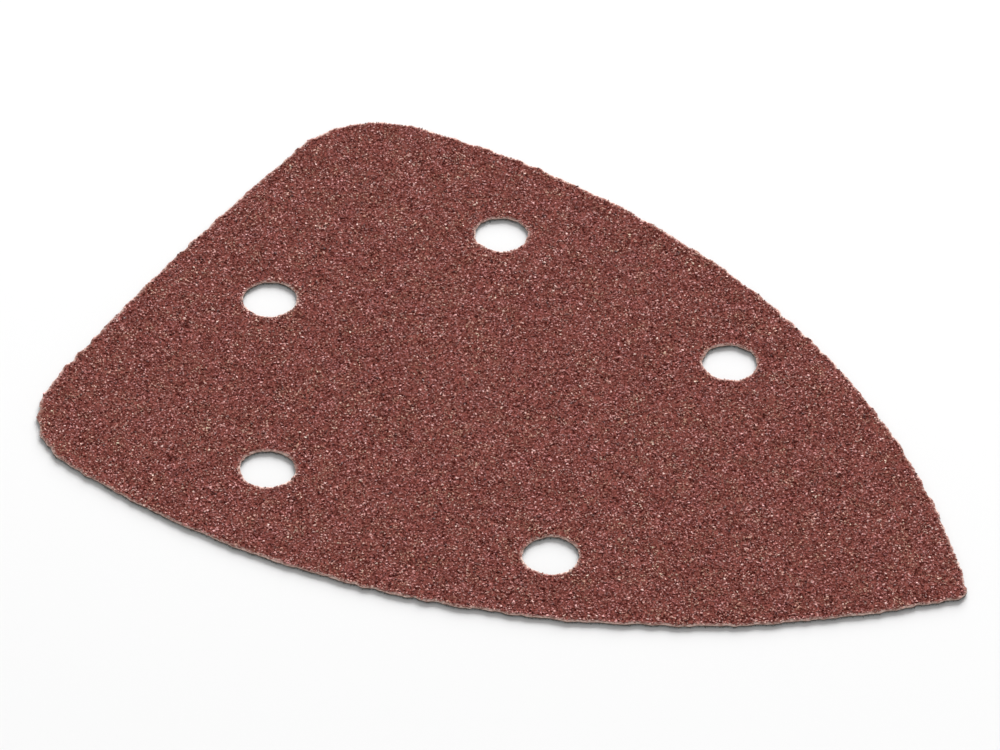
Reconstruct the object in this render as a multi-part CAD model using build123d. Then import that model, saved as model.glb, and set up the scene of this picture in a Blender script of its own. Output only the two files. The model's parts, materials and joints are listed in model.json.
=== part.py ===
from build123d import *
import math
import os

os.makedirs("parts", exist_ok=True)

# Hook-and-loop abrasive sheet for a detail (mouse) sander: a die-cut laminate.
# Millimetres. +X towards the pointed tip, +Z from the loop face to the grit face, z = 0 on
# the loop face. The origin is the middle of the length and width, on the loop face.

# ---- plan outline -----------------------------------------------------------------
LENGTH = 140.0         # rear edge to tip, along X
WIDTH = 100.0          # widest point, along Y
SIDE_RADIUS = 136.4    # the two long convex sides
CROWN_RADIUS = 570.0   # the almost straight rear edge
CORNER_RADIUS = 16.0   # the two rear corners
TIP_RADIUS = 2.0       # the blunted point

# ---- dust-extraction holes ----------------------------------------------------------
HOLE_DIA = 8.3
REAR_HOLE_X = -52.1                 # one hole on the centre line
MID_HOLE_X, MID_HOLE_Y = -30.6, 32.9    # the wide pair
FRONT_HOLE_X, FRONT_HOLE_Y = 14.9, 26.0  # the narrower pair
HOLES = [
    (REAR_HOLE_X, 0.0),
    (MID_HOLE_X, MID_HOLE_Y),
    (MID_HOLE_X, -MID_HOLE_Y),
    (FRONT_HOLE_X, FRONT_HOLE_Y),
    (FRONT_HOLE_X, -FRONT_HOLE_Y),
]

# ---- laminate, from the loop face up -------------------------------------------------
LAYERS = [
    ("loop_pile", 0.24),           # brushed loops that grip the sander's hook pad
    ("loop_ground", 0.08),         # knitted base the loops are held in
    ("laminating_adhesive", 0.03),  # bonds the fabric to the paper
    ("backing_paper", 0.19),       # coated-abrasive backing
    ("make_coat", 0.05),           # resin the grains are anchored in
    ("abrasive_grains", 0.17),     # one layer of mineral
    ("size_coat", 0.04),           # resin that locks the grains from above
]


def outline():
    """Two side arcs and the rear crown, with the corners and the tip rounded off."""
    side_y = WIDTH / 2 - SIDE_RADIUS
    reach = math.sqrt((SIDE_RADIUS - TIP_RADIUS) ** 2 - side_y ** 2)
    side_x = LENGTH / 2 - TIP_RADIUS - reach
    crown_x = CROWN_RADIUS - LENGTH / 2

    plan = Pos(side_x, side_y) * Circle(SIDE_RADIUS)
    plan &= Pos(side_x, -side_y) * Circle(SIDE_RADIUS)
    plan &= Pos(crown_x, 0) * Circle(CROWN_RADIUS)
    tip = plan.vertices().sort_by(Axis.X)[-1]
    plan = fillet(tip, TIP_RADIUS)
    rear = plan.vertices().sort_by(Axis.X)[:2]
    return fillet(rear, CORNER_RADIUS)


def die_cut(plan):
    """The outline with the dust holes punched through it."""
    for x, y in HOLES:
        plan -= Pos(x, y) * Circle(HOLE_DIA / 2)
    return plan


plan = die_cut(outline())

z = 0.0
for name, thickness in LAYERS:
    layer = extrude(Pos(0, 0, z) * plan, amount=thickness, dir=(0, 0, 1))
    layer.label = name
    export_step(layer, f"parts/{name}.step")
    z += thickness
    box = layer.bounding_box()
    print(name, [round(v, 3) for v in (*box.min, *box.max)], round(layer.volume, 1))
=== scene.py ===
import json
import math

import bmesh
import bpy
import numpy as np
from mathutils import Matrix, Vector
from mathutils.geometry import delaunay_2d_cdt, tessellate_polygon

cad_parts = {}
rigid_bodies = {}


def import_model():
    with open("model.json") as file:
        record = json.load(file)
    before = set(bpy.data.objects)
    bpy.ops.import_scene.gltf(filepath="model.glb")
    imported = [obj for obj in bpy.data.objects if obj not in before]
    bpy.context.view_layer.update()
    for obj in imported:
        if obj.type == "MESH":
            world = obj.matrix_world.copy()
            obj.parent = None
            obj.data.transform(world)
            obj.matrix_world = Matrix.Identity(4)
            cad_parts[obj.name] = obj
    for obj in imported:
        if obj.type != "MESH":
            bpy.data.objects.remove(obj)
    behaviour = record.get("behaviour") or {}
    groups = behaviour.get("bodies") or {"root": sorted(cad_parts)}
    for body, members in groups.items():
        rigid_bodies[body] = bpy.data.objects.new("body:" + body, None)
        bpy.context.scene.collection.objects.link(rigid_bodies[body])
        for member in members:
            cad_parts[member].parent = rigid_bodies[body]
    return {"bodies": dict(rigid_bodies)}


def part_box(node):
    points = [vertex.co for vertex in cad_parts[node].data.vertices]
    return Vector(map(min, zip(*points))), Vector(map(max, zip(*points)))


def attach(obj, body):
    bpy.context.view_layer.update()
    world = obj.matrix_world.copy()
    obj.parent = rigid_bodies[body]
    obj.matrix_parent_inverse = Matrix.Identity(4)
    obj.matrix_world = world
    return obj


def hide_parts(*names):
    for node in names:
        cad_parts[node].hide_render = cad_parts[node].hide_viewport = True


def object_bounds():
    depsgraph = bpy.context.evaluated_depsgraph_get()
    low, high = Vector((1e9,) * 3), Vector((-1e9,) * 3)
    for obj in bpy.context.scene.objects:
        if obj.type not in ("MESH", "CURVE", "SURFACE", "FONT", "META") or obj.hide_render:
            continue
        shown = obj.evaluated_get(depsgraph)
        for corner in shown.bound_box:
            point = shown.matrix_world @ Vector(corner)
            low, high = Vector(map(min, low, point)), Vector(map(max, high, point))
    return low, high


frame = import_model()
cad_lo, cad_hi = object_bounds()
BODY = next(iter(frame["bodies"]))
MM = 0.001


# ---------------------------------------------------------------- camera
def place_camera(target, azimuth, elevation, roll, distance, lens):
    """target, distance and lens in mm, angles in degrees."""
    a, e = math.radians(azimuth), math.radians(elevation)
    back = Vector((math.sin(a) * math.cos(e), -math.cos(a) * math.cos(e), math.sin(e)))
    data = bpy.data.cameras.new("camera")
    data.sensor_width = 36.0
    data.lens = lens
    data.clip_start, data.clip_end = 0.02, 20.0
    cam = bpy.data.objects.new("camera", data)
    bpy.context.scene.collection.objects.link(cam)
    turn = (-back).to_track_quat("-Z", "Y").to_matrix().to_4x4()
    cam.matrix_world = (
        Matrix.Translation(Vector(target) * MM + back * distance * MM)
        @ turn
        @ Matrix.Rotation(math.radians(roll), 4, "Z")
    )
    bpy.context.scene.camera = cam


place_camera(target=(-12.8, 4.1, 0.8), azimuth=31.2, elevation=40.8, roll=1.3,
             distance=911.0, lens=215.6)

# ---------------------------------------------------------------- plan shape, in mm
low, high = (np.array(c) / MM for c in (cad_lo, cad_hi))
LENGTH, WIDTH = (high - low)[:2]
SIDE_R, CROWN_R, CORNER_R, TIP_R, HOLE_R = 136.4, 570.0, 16.0, 2.0, 4.15
HOLES = np.array([(-52.1, 0.0), (-30.6, 32.9), (-30.6, -32.9), (14.9, 26.0), (14.9, -26.0)])

side_y = WIDTH / 2 - SIDE_R
side_x = LENGTH / 2 - TIP_R - math.sqrt((SIDE_R - TIP_R) ** 2 - side_y ** 2)
SIDE = np.array([side_x, side_y])               # centre of the +Y side arc
CROWN = np.array([CROWN_R - LENGTH / 2, 0.0])
TIP = np.array([LENGTH / 2 - TIP_R, 0.0])


def circles_meet(c0, r0, c1, r1):
    """The point of smaller x where two circles cross, with y above zero."""
    d = c1 - c0
    dist = math.hypot(*d)
    along = (dist ** 2 + r0 ** 2 - r1 ** 2) / (2 * dist)
    off = math.sqrt(r0 ** 2 - along ** 2)
    mid, across = c0 + d * along / dist, np.array([-d[1], d[0]]) / dist
    both = [mid + across * off, mid - across * off]
    return min((p for p in both if p[1] > 0), key=lambda p: p[0])


CORNER = circles_meet(SIDE, SIDE_R - CORNER_R, CROWN, CROWN_R - CORNER_R)


def angle(v):
    return math.atan2(v[1], v[0])


def outer_loop(step):
    """Points and outward normals round the outline, counter-clockwise, about step apart."""
    flip = np.array([1.0, -1.0])
    a_tip = angle(TIP - SIDE)
    a_side = angle(CORNER - SIDE)
    a_crown = angle(CORNER - CROWN)
    arcs = [
        (TIP, TIP_R, -a_tip, a_tip),
        (SIDE, SIDE_R, a_tip, a_side),
        (CORNER, CORNER_R, a_side, a_crown),
        (CROWN, CROWN_R, a_crown, 2 * math.pi - a_crown),
        (CORNER * flip, CORNER_R, -a_crown, -a_side),
        (SIDE * flip, SIDE_R, -a_side, -a_tip),
    ]
    pts, nrm = [], []
    for c, r, a0, a1 in arcs:
        n = max(6, int(round(abs(a1 - a0) * r / step)))
        t = a0 + (a1 - a0) * np.arange(n) / n
        d = np.stack([np.cos(t), np.sin(t)], 1)
        pts.append(c + r * d)
        nrm.append(d)
    return np.concatenate(pts), np.concatenate(nrm)


def hole_loop(centre, step):
    """Clockwise, with normals that point into the hole, out of the material."""
    n = int(round(2 * math.pi * HOLE_R / step))
    t = -2 * math.pi * np.arange(n) / n
    d = np.stack([np.cos(t), np.sin(t)], 1)
    return centre + HOLE_R * d, -d


def edge_loops(step):
    return [outer_loop(step)] + [hole_loop(c, step) for c in HOLES]


def inside_by(x, y):
    """Distance into the material, in mm: above zero inside, below zero outside."""
    p = np.stack([x, np.abs(y)], -1)

    def dist(c):
        return np.hypot(p[..., 0] - c[0], p[..., 1] - c[1])

    out = np.maximum(dist(SIDE) - SIDE_R, dist(CROWN) - CROWN_R)
    v = p - CORNER
    d_side, d_crown = CORNER - SIDE, CORNER - CROWN
    past_side = v[..., 0] * d_side[1] - v[..., 1] * d_side[0] < 0
    past_crown = v[..., 0] * d_crown[1] - v[..., 1] * d_crown[0] > 0
    out = np.where(past_side & past_crown, dist(CORNER) - CORNER_R, out)
    v, d = p - TIP, TIP - SIDE
    round_tip = v[..., 0] * d[1] - v[..., 1] * d[0] > 0
    out = np.where(round_tip & (v[..., 0] > 0), dist(TIP) - TIP_R, out)
    for c in HOLES:
        out = np.maximum(out, HOLE_R - np.hypot(x - c[0], y - c[1]))
    return -out


# ---------------------------------------------------------------- noise
def lattice(i, j, seed):
    """A hash of whole-number points, spread evenly from 0 to 1."""
    word = 0xFFFFFFFF
    h = i.astype(np.int64) * 374761393 + j.astype(np.int64) * 668265263 + seed * 2246822519
    h = h & word
    h = ((h ^ (h >> 13)) * 1274126177) & word
    h = ((h ^ (h >> 16)) * 2654435761) & word
    return (h >> 8) / float(1 << 24)


def noise(x, y, cell, seed):
    """Smooth value noise from -1 to 1, with features about cell mm wide."""
    x, y = x / cell, y / cell
    i, j = np.floor(x), np.floor(y)
    u, v = x - i, y - j
    u, v = u * u * (3 - 2 * u), v * v * (3 - 2 * v)
    a, b = lattice(i, j, seed), lattice(i + 1, j, seed)
    c, d = lattice(i, j + 1, seed), lattice(i + 1, j + 1, seed)
    return 2 * ((a * (1 - u) + b * u) * (1 - v) + (c * (1 - u) + d * u) * v) - 1


def shaken_grid(rng, pitch, shake, row=0.87):
    """Points over the whole box, in offset rows row * pitch apart, each moved up to shake."""
    gx, gy = np.meshgrid(np.arange(-LENGTH / 2, LENGTH / 2, pitch),
                         np.arange(-WIDTH / 2, WIDTH / 2, pitch * row))
    gx[1::2] += pitch / 2
    gx = gx + rng.uniform(-shake, shake, gx.shape)
    gy = gy + rng.uniform(-shake, shake, gy.shape)
    return gx.ravel(), gy.ravel()


# ---------------------------------------------------------------- meshes
def make_object(name, verts, tris, node, smooth=False, attrs=()):
    """A visible piece that stands for a CAD node. verts in mm, attrs (name, value per vertex)."""
    me = bpy.data.meshes.new(name)
    verts = np.asarray(verts, np.float32) * MM
    tris = np.asarray(tris, np.int32)
    me.vertices.add(len(verts))
    me.vertices.foreach_set("co", verts.ravel())
    me.loops.add(tris.size)
    me.loops.foreach_set("vertex_index", tris.ravel())
    me.polygons.add(len(tris))
    me.polygons.foreach_set("loop_start", np.arange(0, tris.size, 3, dtype=np.int32))
    me.polygons.foreach_set("loop_total", np.full(len(tris), 3, np.int32))
    me.polygons.foreach_set("use_smooth", np.full(len(tris), smooth))
    for key, values in attrs:
        me.attributes.new(key, "FLOAT", "POINT").data.foreach_set(
            "value", np.asarray(values, np.float32))
    me.update()
    me.validate()
    ob = bpy.data.objects.new(name, me)
    bpy.context.scene.collection.objects.link(ob)
    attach(ob, BODY)
    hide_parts(node)
    return ob


def bake_uv(ob):
    """A flat map of the piece seen from above. Faces that look down share one corner."""
    me = ob.data
    n = len(me.loops)
    idx = np.empty(n, np.int32)
    me.loops.foreach_get("vertex_index", idx)
    co = np.empty(len(me.vertices) * 3, np.float32)
    me.vertices.foreach_get("co", co)
    co = co.reshape(-1, 3)
    lo, hi = co.min(0), co.max(0)
    uv = (co[idx, :2] - lo[:2]) / (hi[:2] - lo[:2]) * 0.98 + 0.01
    nz = np.empty(len(me.polygons) * 3, np.float32)
    me.polygons.foreach_get("normal", nz)
    down = np.repeat(nz.reshape(-1, 3)[:, 2] < -0.02, 3)
    uv[down] = 0.003 + 0.002 * (uv[down] - 0.5)
    me.uv_layers.new(name="OFBake").data.foreach_set("uv", uv.astype(np.float32).ravel())


def cut_line(x, y):
    """How far the punched edge strays outwards, in mm. Every layer shares it.

    The holes are cut more cleanly than the outline.
    """
    near = np.min([np.hypot(x - c[0], y - c[1]) for c in HOLES], axis=0)
    calm = np.clip((near - 1.3 * HOLE_R) / HOLE_R, 0, 1)
    return (0.13 + 0.13 * calm) * noise(x, y, 1.5, 501) + 0.09 * noise(x, y, 0.6, 502)


def ragged(loops, amp, cell, seed):
    """The cut edge, moved in and out by the shared line and by the layer's own fraying."""
    moved = []
    for pts, nrm in loops:
        x, y = pts[:, 0], pts[:, 1]
        off = cut_line(x, y) + amp * (0.6 * noise(x, y, cell, seed)
                                      + 0.4 * noise(x, y, cell * 0.35, seed + 7))
        moved.append(pts + nrm * off[:, None])
    return moved


def depth_in(x, y):
    """Distance in from the ragged edge."""
    return inside_by(x, y) + cut_line(x, y)


def torn(x, y, deep):
    """How far the die has chipped the coating away to pale, 1 at the cut and 0 inside."""
    reach = 0.22 + 0.18 * noise(x, y, 0.9, 601) + 0.12 * noise(x, y, 0.4, 602)
    return np.clip(1.35 - deep / np.maximum(reach, 0.05), 0, 1)


def cap(loops):
    """Triangles that fill the outer loop less its holes, as indices into the loops end to end."""
    polys = [[Vector((x, y, 0)) for x, y in loop] for loop in loops]
    tris = np.array(tessellate_polygon(polys), np.int64)
    p = np.concatenate(loops)
    a, b, c = (p[tris[:, k]] for k in range(3))
    area = (b[:, 0] - a[:, 0]) * (c[:, 1] - a[:, 1]) - (b[:, 1] - a[:, 1]) * (c[:, 0] - a[:, 0])
    tris[area < 0] = tris[area < 0][:, ::-1]
    return tris[np.abs(area) > 1e-9]


def wall(counts, lower, upper):
    """Quads as triangles between two rings of loops that start at vertices lower and upper."""
    tris, at = [], 0
    for n in counts:
        i = at + np.arange(n)
        j = at + (np.arange(n) + 1) % n
        tris += [np.stack([lower + i, lower + j, upper + j], 1),
                 np.stack([lower + i, upper + j, upper + i], 1)]
        at += n
    return np.concatenate(tris)


def node_z(name):
    """The bottom and the top of a CAD node, in mm."""
    lo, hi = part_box(name)
    return lo[2] / MM, hi[2] / MM


def layer(name, rows, step, amp, cell, seed, bulge=0.0):
    """One sheet of the laminate with its own ragged die-cut edge, rows high."""
    z0, z1 = node_z(name)
    base = edge_loops(step)
    counts = [len(p) for p, _ in base]
    total = sum(counts)
    verts, tris = [], []
    for k in range(rows + 1):
        f = k / rows
        push = bulge * math.sin(math.pi * f)
        ring = ragged([(p + n * push, n) for p, n in base], amp, cell, seed + 31 * k)
        xy = np.concatenate(ring)
        verts.append(np.column_stack([xy, np.full(total, z0 + (z1 - z0) * f)]))
        if k == 0:
            tris.append(cap(ring)[:, ::-1])
        else:
            tris.append(wall(counts, (k - 1) * total, k * total))
        if k == rows:
            tris.append(cap(ring) + k * total)
    return make_object(f"{name}_layer", np.concatenate(verts), np.concatenate(tris), name)


# ---------------------------------------------------------------- materials
def material(name):
    m = bpy.data.materials.new(name)
    m.use_nodes = True
    nt = m.node_tree
    shader = nt.nodes["Principled BSDF"]

    def add(kind, **settings):
        n = nt.nodes.new(kind)
        for k, v in settings.items():
            setattr(n, k, v)
        return n

    return m, nt, shader, add


def link(nt, a, b):
    nt.links.new(a, b)


def noise_node(nt, add, coord, scale, detail=2.0, rough=0.5):
    n = add("ShaderNodeTexNoise")
    n.inputs["Scale"].default_value = scale
    n.inputs["Detail"].default_value = detail
    n.inputs["Roughness"].default_value = rough
    link(nt, coord, n.inputs["Vector"])
    return n.outputs["Fac"]


def ramp(nt, add, fac, stops):
    r = add("ShaderNodeValToRGB")
    e = r.color_ramp.elements
    while len(e) < len(stops):
        e.new(0.5)
    for k, (pos, col) in enumerate(stops):
        e[k].position = pos
        e[k].color = (*col, 1.0)
    link(nt, fac, r.inputs["Fac"])
    return r.outputs["Color"]


def mix(nt, add, fac, a, b, blend="MIX"):
    m = add("ShaderNodeMix", data_type="RGBA", blend_type=blend)
    for value, socket in ((fac, m.inputs["Factor"]), (a, m.inputs[6]), (b, m.inputs[7])):
        if hasattr(value, "links"):
            link(nt, value, socket)
        elif isinstance(value, tuple):
            socket.default_value = (*value, 1.0)
        else:
            socket.default_value = value
    return m.outputs[2]


def span(nt, add, value, lo, hi, src=(0.0, 1.0)):
    r = add("ShaderNodeMapRange")
    link(nt, value, r.inputs["Value"])
    r.inputs["From Min"].default_value, r.inputs["From Max"].default_value = src
    r.inputs["To Min"].default_value, r.inputs["To Max"].default_value = lo, hi
    return r.outputs["Result"]


def bump(nt, add, shader, height, strength, distance):
    b = add("ShaderNodeBump")
    b.inputs["Strength"].default_value = strength
    b.inputs["Distance"].default_value = distance
    link(nt, height, b.inputs["Height"])
    link(nt, b.outputs["Normal"], shader.inputs["Normal"])


def attribute(nt, add, name):
    return add("ShaderNodeAttribute", attribute_name=name).outputs["Fac"]


def position(add):
    return add("ShaderNodeTexCoord").outputs["Object"]


def grain_material():
    """Per grain, one attribute holds its own colour, or a painted highlight on a few grains; lift
    is the height up the grain, which paints shade on its lower part; chip is how far the die
    broke it.
    """
    m, nt, s, add = material("grain_mineral")
    pos = position(add)
    grain_tone_and_glint, lift = attribute(nt, add, "grain_tone_and_glint"), attribute(nt, add, "lift")
    # the palest stops also colour the few grains that stand for a painted highlight
    col = ramp(nt, add, grain_tone_and_glint, [
        (0.00, (0.060, 0.002, 0.001)),
        (0.14, (0.130, 0.015, 0.009)),
        (0.28, (0.325, 0.098, 0.080)),
        (0.60, (0.645, 0.295, 0.258)),
        (0.93, (0.740, 0.415, 0.378)),
        (1.00, (0.880, 0.640, 0.560)),
    ])
    drift = ramp(nt, add, noise_node(nt, add, pos, 330.0, 3.0),
                 [(0.32, (0.97, 1.07, 0.90)), (0.5, (1.0, 1.0, 1.0)), (0.68, (1.05, 0.92, 0.99))])
    col = mix(nt, add, 1.0, col, drift, "MULTIPLY")
    # painted shade: each grain is darkened towards its foot, down among its neighbours, by its
    # height alone
    painted_shade_low = ramp(nt, add, lift, [(0.05, (0.42, 0.28, 0.26)), (0.75, (1.0, 1.0, 1.0))])
    col = mix(nt, add, 1.0, col, painted_shade_low, "MULTIPLY")
    fine = noise_node(nt, add, pos, 9000.0, 2.0)
    speckle = ramp(nt, add, fine, [(0.3, (0.86, 0.84, 0.84)), (0.7, (1.12, 1.1, 1.1))])
    col = mix(nt, add, 1.0, col, speckle, "MULTIPLY")
    col = mix(nt, add, attribute(nt, add, "chip"), col, (0.84, 0.58, 0.50))
    link(nt, col, s.inputs["Base Color"])
    link(nt, span(nt, add, fine, 0.18, 0.42, (0.3, 0.7)), s.inputs["Roughness"])
    bump(nt, add, s, fine, 0.5, 0.00002)
    s.inputs["Specular IOR Level"].default_value = 0.15
    return m


def resin_material(name, dark, light, scale, torn=None, specular=0.25, ior=1.5):
    m, nt, s, add = material(name)
    pos = position(add)
    f = noise_node(nt, add, pos, scale, 3.0)
    col = ramp(nt, add, f, [(0.3, dark), (0.7, light)])
    if torn:
        fray = noise_node(nt, add, pos, 2200.0, 3.0)
        fray = ramp(nt, add, fray, [(0.4, torn[0]), (0.6, torn[1])])
        col = mix(nt, add, attribute(nt, add, "chip"), col, fray)
    link(nt, col, s.inputs["Base Color"])
    link(nt, span(nt, add, f, 0.42, 0.65, (0.3, 0.7)), s.inputs["Roughness"])
    bump(nt, add, s, noise_node(nt, add, pos, scale * 3, 2.0), 0.4, 0.00003)
    s.inputs["Specular IOR Level"].default_value = specular
    s.inputs["IOR"].default_value = ior
    return m


def fibre_material(name, dark, light, along=(1, 1, 1), rough=(0.75, 0.95), scale=2500.0,
                   soak_and_painted_shade=None):
    """The last argument is (colour, height of full colour, height where it has faded out), in mm:
    it darkens one end of the layer's height, which serves as adhesive soaked into the knit and as
    painted shade on the lower paper.
    """
    m, nt, s, add = material(name)
    mp = add("ShaderNodeMapping")
    mp.inputs["Scale"].default_value = along
    link(nt, position(add), mp.inputs["Vector"])
    f = noise_node(nt, add, mp.outputs["Vector"], scale, 4.0, 0.6)
    patchy = ramp(nt, add, noise_node(nt, add, position(add), 150.0, 2.0),
                  [(0.3, (0.9, 0.9, 0.9)), (0.7, (1.08, 1.08, 1.08))])
    col = ramp(nt, add, f, [(0.3, dark), (0.7, light)])
    col = mix(nt, add, 1.0, col, patchy, "MULTIPLY")
    # darker towards one end of the height; on the paper this is painted shade
    if soak_and_painted_shade:
        colour, z_dark, z_pale = soak_and_painted_shade
        xyz = add("ShaderNodeSeparateXYZ")
        link(nt, position(add), xyz.inputs["Vector"])
        up = span(nt, add, xyz.outputs["Z"], 0.0, 1.0, (z_dark * MM, z_pale * MM))
        col = mix(nt, add, up, colour, col)
    link(nt, col, s.inputs["Base Color"])
    link(nt, span(nt, add, f, rough[0], rough[1], (0.3, 0.7)), s.inputs["Roughness"])
    fuzz = noise_node(nt, add, mp.outputs["Vector"], scale * 3, 3.0, 0.6)
    bump(nt, add, s, fuzz, 0.7, 0.00004)
    return m


TORN = (0.34, 0.15, 0.12), (0.92, 0.70, 0.62)    # resin and paper where the die has torn them


# ---------------------------------------------------------------- sheets with relief
def within(points, segments):
    """Whether each point is on the sheet: a ray from it crosses the cut edge oddly."""
    (ax, ay), (bx, by) = segments[:, 0].T, segments[:, 1].T
    px, py = points[:, :1], points[:, 1:]
    rise = np.where(by == ay, 1.0, by - ay)
    ahead = px < ax + (py - ay) * (bx - ax) / rise
    return (((ay > py) != (by > py)) & ahead).sum(1) % 2 == 1


def plan_mesh(rings, pitch, seed):
    """The sheet inside its ragged rings.

    Returns the rings end to end, each ring's count, the plan points, which start with the
    rings' own, and the triangles.
    """
    counts = [len(r) for r in rings]
    edge = np.concatenate(rings)
    rng = np.random.default_rng(seed)
    gx, gy = shaken_grid(rng, pitch, shake=0.1, row=0.9)
    keep = depth_in(gx, gy) > 0.3
    xy = np.concatenate([edge, np.stack([gx[keep], gy[keep]], 1)])
    seams, at = [], 0
    for n in counts:
        seams += [(at + k, at + (k + 1) % n) for k in range(n)]
        at += n
    out = delaunay_2d_cdt([Vector(p) for p in xy], seams, [], 0, 1e-7)
    flat = np.array([tuple(v) for v in out[0]])
    tris = np.array(out[2], np.int64)
    if len(flat) != len(xy) or abs(flat[:len(edge)] - edge).max() > 1e-3:
        raise ValueError("the cut edge crosses itself")
    # Only a triangle with all three corners on the cut edge can lie off the sheet.
    rim = np.flatnonzero(tris.max(1) < len(edge))
    off = rim[~within(flat[tris[rim]].mean(1), edge[np.array(seams)])]
    return edge, counts, flat, np.delete(tris, off, 0)


def size_coat():
    """The resin bed, lumpy where it has run up between the grains."""
    z0, _ = node_z("abrasive_grains")
    rings = ragged(edge_loops(step=0.33), amp=0.07, cell=0.5, seed=5)
    edge, counts, flat, tris = plan_mesh(rings, pitch=0.36, seed=11)
    x, y = flat[:, 0], flat[:, 1]
    mean_height, rim_height = 0.055, 0.03
    height = z0 + mean_height + 0.030 * noise(x, y, 0.5, 21) + 0.018 * noise(x, y, 1.7, 22)
    height[:len(edge)] = z0 + rim_height
    top = np.column_stack([flat, height])
    bottom = np.column_stack([edge, np.full(len(edge), z0)])
    n = len(top)
    tris = np.concatenate([tris, wall(counts, n, 0), cap(rings)[:, ::-1] + n])
    least_at_rim = 0.45
    chip = torn(x, y, depth_in(x, y))
    chip[:len(edge)] = np.maximum(chip[:len(edge)], least_at_rim)
    chip = np.concatenate([chip, np.ones(len(edge))])
    ob = make_object("size_coat_bed", np.concatenate([top, bottom]), tris, "size_coat",
                     smooth=True, attrs=[("chip", chip)])
    ob.data.materials.append(resin_material(
        "size_resin", (0.035, 0.002, 0.001), (0.335, 0.104, 0.085), 2600.0,
        torn=TORN, specular=0.05, ior=1.05))
    bake_uv(ob)


# ---------------------------------------------------------------- grains
STRIPS = 8      # the grains and the loops are each split into this many pieces


def grain_shapes(rng, count):
    """Blocky, sharp-edged closed crystals about a unit across, as (verts, tris)."""
    shapes = []
    while len(shapes) < count:
        bm = bmesh.new()
        n = int(rng.integers(7, 10))
        d = rng.normal(size=(n, 3))
        d /= np.linalg.norm(d, axis=1)[:, None]
        d *= rng.uniform(0.80, 1.15, (n, 1))
        d *= np.array([1.0, rng.uniform(0.55, 0.95), rng.uniform(0.75, 1.1)])
        for p in d:
            bm.verts.new(p)
        bmesh.ops.convex_hull(bm, input=bm.verts)
        loose = [v for v in bm.verts if not v.link_faces]
        bmesh.ops.delete(bm, geom=loose, context="VERTS")
        bmesh.ops.recalc_face_normals(bm, faces=bm.faces)
        v = np.array([tuple(p.co) for p in bm.verts])
        bm.verts.index_update()
        t = np.array([[q.index for q in f.verts] for f in bm.faces])
        bm.free()
        size = v.max(0) - v.min(0)
        if len(v) < 6 or size.min() < 0.85:
            continue
        v[:, 2] -= v[:, 2].min()
        shapes.append((v, t))
    return shapes


def grains():
    """Separate crystals, set down at random on a shaken grid, in strips along X."""
    z0, _ = node_z("abrasive_grains")
    top = high[2]
    sink = 0.02                                    # how far a grain's foot is in the make coat
    rng = np.random.default_rng(60)
    shapes = grain_shapes(rng, 72)
    radius, clear_of_edge, bare_share, painted_glint_share = 0.166, 0.08, 0.08, 0.012
    gx, gy = shaken_grid(rng, pitch=0.345, shake=0.17)
    deep = depth_in(gx, gy)
    keep = (deep > clear_of_edge) & (rng.random(len(gx)) > bare_share)
    gx, gy, deep = gx[keep], gy[keep], deep[keep]
    n = len(gx)
    size = np.clip(rng.lognormal(math.log(radius), 0.30, n), 0.08, 0.30)
    tall = np.clip(rng.normal(1.0, 0.14, n), 0.65, 1.3)
    turn = rng.uniform(0, 2 * math.pi, n)
    kind = rng.integers(0, len(shapes), n)
    grain_tone_and_glint = np.clip(rng.beta(1.2, 1.15, n) + 0.08 * noise(gx, gy, 1.3, 3), 0, 1)
    # painted highlight: a few grains take the palest colours, standing for bright sparkles of
    # light off their facets
    painted_glint = rng.random(n) < painted_glint_share
    grain_tone_and_glint[painted_glint] = rng.uniform(0.93, 1.0, painted_glint.sum())
    broken = np.where(rng.random(n) < 0.5, rng.uniform(0.5, 1.0, n), 0.0)
    chip = torn(gx, gy, deep) * broken
    mat = grain_material()
    for k, part in enumerate(np.array_split(np.argsort(gx), STRIPS)):
        verts, tris, grain_tones_and_glints, lifts, chips, at = [], [], [], [], [], 0
        for s, (v, t) in enumerate(shapes):
            own = part[kind[part] == s]
            if not len(own):
                continue
            c, d = np.cos(turn[own])[:, None], np.sin(turn[own])[:, None]
            r = size[own][:, None]
            x = (v[:, 0] * c - v[:, 1] * d) * r + gx[own][:, None]
            y = (v[:, 0] * d + v[:, 1] * c) * r + gy[own][:, None]
            reach = v[:, 2].max()
            h = np.minimum(r * tall[own][:, None] * 1.02, (top + sink - z0) / reach)
            z = z0 - sink + v[:, 2] * h
            m = len(own)
            verts.append(np.stack([x, y, z], -1).reshape(-1, 3))
            tris.append((t[None] + (at + np.arange(m) * len(v))[:, None, None]).reshape(-1, 3))
            grain_tones_and_glints.append(np.repeat(grain_tone_and_glint[own], len(v)))
            lifts.append(np.clip((z - z0) / (top - z0), 0, 1).ravel())
            chips.append(np.repeat(chip[own], len(v)))
            at += m * len(v)
        ob = make_object(f"abrasive_grains_{k + 1}", np.concatenate(verts), np.concatenate(tris),
                         "abrasive_grains",
                         attrs=[("grain_tone_and_glint", np.concatenate(grain_tones_and_glints)), ("lift", np.concatenate(lifts)),
                                ("chip", np.concatenate(chips))])
        ob.data.materials.append(mat)
        bake_uv(ob)


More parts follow.
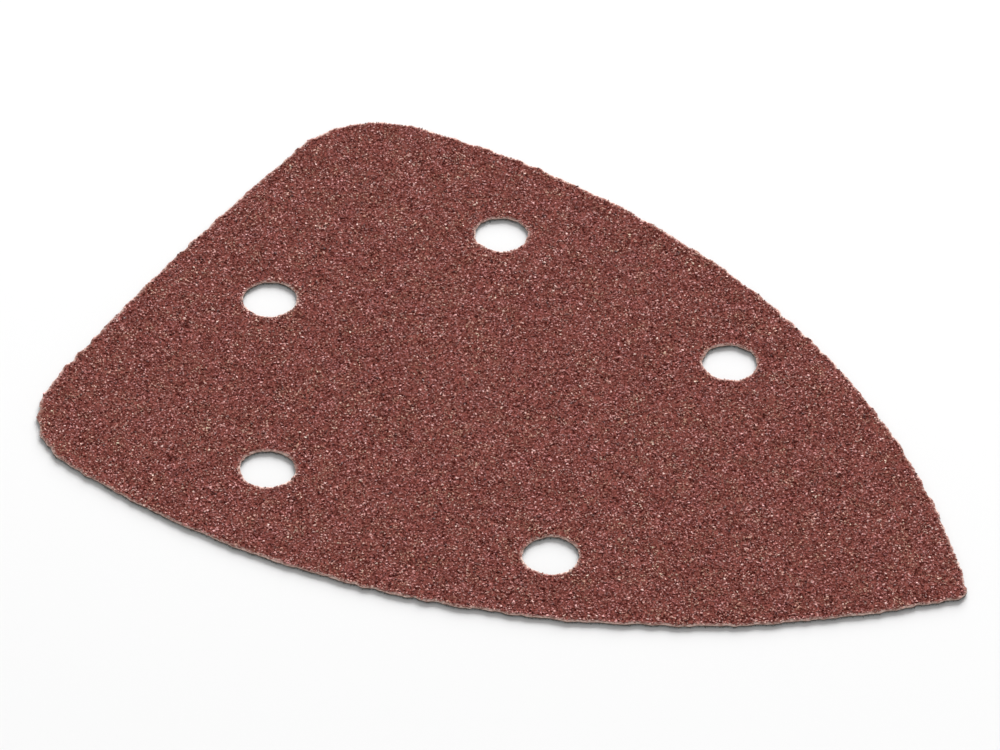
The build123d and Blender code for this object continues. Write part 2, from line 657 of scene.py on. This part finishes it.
# ---------------------------------------------------------------- loop backing
def loop_ground():
    """The knitted cloth, ribbed on its underside."""
    z0, z1 = node_z("loop_ground")
    rings = ragged(edge_loops(step=0.3), amp=0.10, cell=0.4, seed=90)
    edge, counts, flat, tris = plan_mesh(rings, pitch=0.40, seed=12)
    x, y = flat[:, 0], flat[:, 1]
    course, wale, relief = 1.2, 1.3, 0.035
    rib = 0.5 + 0.5 * np.cos(2 * math.pi * y / wale) * np.cos(2 * math.pi * x / course)
    under = np.column_stack([flat, z0 + relief * rib])
    n = len(under)
    upper = np.column_stack([edge, np.full(len(edge), z1)])
    tris = np.concatenate([tris[:, ::-1], wall(counts, 0, n), cap(rings) + n])
    ob = make_object("loop_ground_knit", np.concatenate([under, upper]), tris, "loop_ground")
    ob.data.materials.append(fibre_material(
        "knit_ground", (0.15, 0.15, 0.135), (0.31, 0.31, 0.28),
        soak_and_painted_shade=((0.075, 0.075, 0.067), z0 + 0.045, z0)))
    return ob


def loop_pile():
    """Separate yarn loops that hang from the knitted cloth, in strips along X."""
    z0, z1 = node_z("loop_pile")
    rng = np.random.default_rng(7)
    gx, gy = shaken_grid(rng, pitch=0.53, shake=0.2)
    keep = depth_in(gx, gy) > 0.05
    gx, gy = gx[keep], gy[keep]
    # a second, closer set of loops along the cut edges, where they are seen from the side
    rim = []
    for pts, nrm in edge_loops(0.22):
        depth = rng.uniform(0.04, 0.7, len(pts)) - cut_line(pts[:, 0], pts[:, 1])
        rim.append(pts - nrm * depth[:, None])
    rim = np.concatenate(rim)
    gx, gy = np.concatenate([gx, rim[:, 0]]), np.concatenate([gy, rim[:, 1]])
    n = len(gx)
    way = rng.uniform(0, 2 * math.pi, n)
    half = rng.uniform(0.09, 0.22, n)
    depth = rng.uniform(0.60, 0.96, n) * (z1 - z0)
    radius = rng.uniform(0.022, 0.034, n)
    lean = rng.normal(0, 0.13, (n, 2))
    # each loop is a Bezier curve from foot a to foot b, both a little way up in the cloth
    foot = np.stack([np.cos(way) * half, np.sin(way) * half], 1)
    a = np.column_stack([gx - foot[:, 0], gy - foot[:, 1], np.full(n, z1 + 0.02)])
    b = np.column_stack([gx + foot[:, 0], gy + foot[:, 1], np.full(n, z1 + 0.02)])
    drop = np.column_stack([lean, -depth * 1.36])
    belly = 0.4 * np.column_stack([foot, np.zeros(n)])
    p1, p2 = a + drop - belly, b + drop + belly
    t = np.linspace(0, 1, 6)[None, :, None]
    path = ((1 - t) ** 3 * a[:, None] + 3 * (1 - t) ** 2 * t * p1[:, None]
            + 3 * (1 - t) * t ** 2 * p2[:, None] + t ** 3 * b[:, None])
    path[:, :, 2] = np.maximum(path[:, :, 2], z0 + 0.036)
    tangent = np.gradient(path, axis=1)
    tangent /= np.linalg.norm(tangent, axis=2)[:, :, None] + 1e-9
    side = np.column_stack([-np.sin(way), np.cos(way), np.zeros(n)])[:, None]
    other = np.cross(tangent, side)
    other /= np.linalg.norm(other, axis=2)[:, :, None] + 1e-9
    side = np.cross(other, tangent)
    around = 3
    rings = []
    for q in range(around):
        w = 2 * math.pi * q / around
        rings.append(path + radius[:, None, None] * (math.cos(w) * side + math.sin(w) * other))
    tube = np.stack(rings, 2)                      # loop, along, around, xyz
    rows = tube.shape[1]
    i, q = np.meshgrid(np.arange(rows - 1), np.arange(around), indexing="ij")
    i, q = i.ravel(), q.ravel()
    q2 = (q + 1) % around
    quad = np.concatenate([
        np.stack([i * around + q, (i + 1) * around + q2, i * around + q2], 1),
        np.stack([i * around + q, (i + 1) * around + q, (i + 1) * around + q2], 1),
        np.array([[0, 1, 2]]),
        np.array([[0, 2, 1]]) + (rows - 1) * around,
    ])
    made, per = [], rows * around
    mat = fibre_material("loop_nylon", (0.16, 0.16, 0.145), (0.30, 0.30, 0.27), scale=900.0,
                         rough=(0.45, 0.65))
    for k, part in enumerate(np.array_split(np.argsort(gx), STRIPS)):
        verts = tube[part].reshape(-1, 3)
        tris = (quad[None] + (np.arange(len(part)) * per)[:, None, None]).reshape(-1, 3)
        ob = make_object(f"loop_pile_{k + 1}", verts, tris, "loop_pile", smooth=True)
        ob.data.materials.append(mat)
        made.append(ob)
    return made


# ---------------------------------------------------------------- build
size_coat()
grains()
ob = layer("make_coat", rows=2, step=0.15, amp=0.11, cell=0.4, seed=5, bulge=0.02)
ob.data.materials.append(fibre_material(
    "make_resin", (0.34, 0.14, 0.11), (0.92, 0.68, 0.60), scale=1800.0))
z0, z1 = node_z("backing_paper")
ob = layer("backing_paper", rows=5, step=0.15, amp=0.10, cell=0.4, seed=40, bulge=0.01)
# painted shade: the paper is darkened towards its bottom, where its cut edge falls into shade
ob.data.materials.append(fibre_material(
    "kraft_paper", (0.36, 0.22, 0.18), (0.92, 0.76, 0.68), along=(1, 1, 2), scale=1800.0,
    soak_and_painted_shade=((0.10, 0.062, 0.050), z0 + 0.25 * (z1 - z0), z0 + 0.85 * (z1 - z0))))
ob = layer("laminating_adhesive", rows=2, step=0.35, amp=0.05, cell=0.9, seed=60)
ob.data.materials.append(resin_material(
    "adhesive", (0.10, 0.075, 0.055), (0.20, 0.155, 0.115), 1500.0))
ground = loop_ground()
loop_pile()

# ---------------------------------------------------------------- floor and light
floor_mesh = bpy.data.meshes.new("floor")
half = 4.0                                          # metres
floor_mesh.from_pydata([(-half, -half, 0), (half, -half, 0), (half, half, 0), (-half, half, 0)],
                       [], [(0, 1, 2, 3)])
floor = bpy.data.objects.new("floor", floor_mesh)
bpy.context.scene.collection.objects.link(floor)
floor_white, _, shader, _ = material("floor_white")
shader.inputs["Base Color"].default_value = (0.86, 0.86, 0.86, 1)
shader.inputs["Roughness"].default_value = 0.9
floor_mesh.materials.append(floor_white)

world = bpy.data.worlds.new("studio")
world.use_nodes = True
sky = world.node_tree
sky.nodes["Background"].inputs["Color"].default_value = (1.0, 1.0, 1.0, 1)
split = sky.nodes.new("ShaderNodeSeparateXYZ")
sky.links.new(sky.nodes.new("ShaderNodeTexCoord").outputs["Generated"], split.inputs["Vector"])
at_horizon, overhead = 0.95, 0.37
glow = span(sky, sky.nodes.new, split.outputs["Z"], at_horizon, overhead, (0.04, 0.16))
sky.links.new(glow, sky.nodes["Background"].inputs["Strength"])
bpy.context.scene.world = world


def lamp(name, at, size, watts):
    """A disc that faces the middle of the sheet."""
    data = bpy.data.lights.new(name, "AREA")
    data.shape = "DISK"
    data.size = size
    data.energy = watts
    ob = bpy.data.objects.new(name, data)
    ob.location = at
    ob.rotation_mode = "QUATERNION"
    ob.rotation_quaternion = (-Vector(at)).to_track_quat("-Z", "Y")
    bpy.context.scene.collection.objects.link(ob)


lamp("key", (-1.1, 2.8, 1.6), size=2.6, watts=200.0)
lamp("fill", (1.3, -2.5, 0.8), size=1.6, watts=14.0)
bpy.context.scene.view_settings.view_transform = "Standard"
